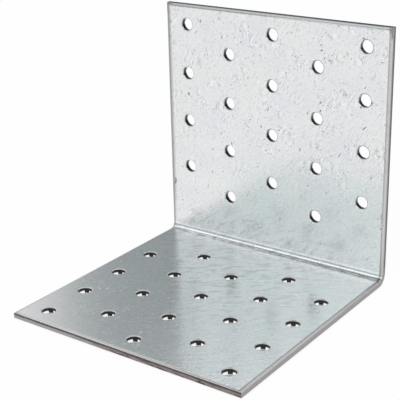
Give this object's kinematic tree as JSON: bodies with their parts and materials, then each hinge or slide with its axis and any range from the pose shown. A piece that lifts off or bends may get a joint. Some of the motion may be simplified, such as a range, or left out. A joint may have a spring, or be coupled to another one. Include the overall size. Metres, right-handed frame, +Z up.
{
  "type": "angle bracket",
  "caption": "Equal-leg angle bracket folded from one perforated zinc-coated steel sheet, with staggered nail holes in both legs, for joining timbers at a right angle.",
  "frame": {"origin": "underside of the base, below the middle of the whole piece", "axes": "+X along the bend, +Y from the base's free edge towards the back of the upright, +Z up along the upright"},
  "size_m": [0.1, 0.1, 0.1],
  "materials": {
    "zinc_steel": "zinc-coated, semi-gloss"
  },
  "bodies": {
    "root": {"angle_bracket": "zinc_steel"}
  },
  "joints": []
}
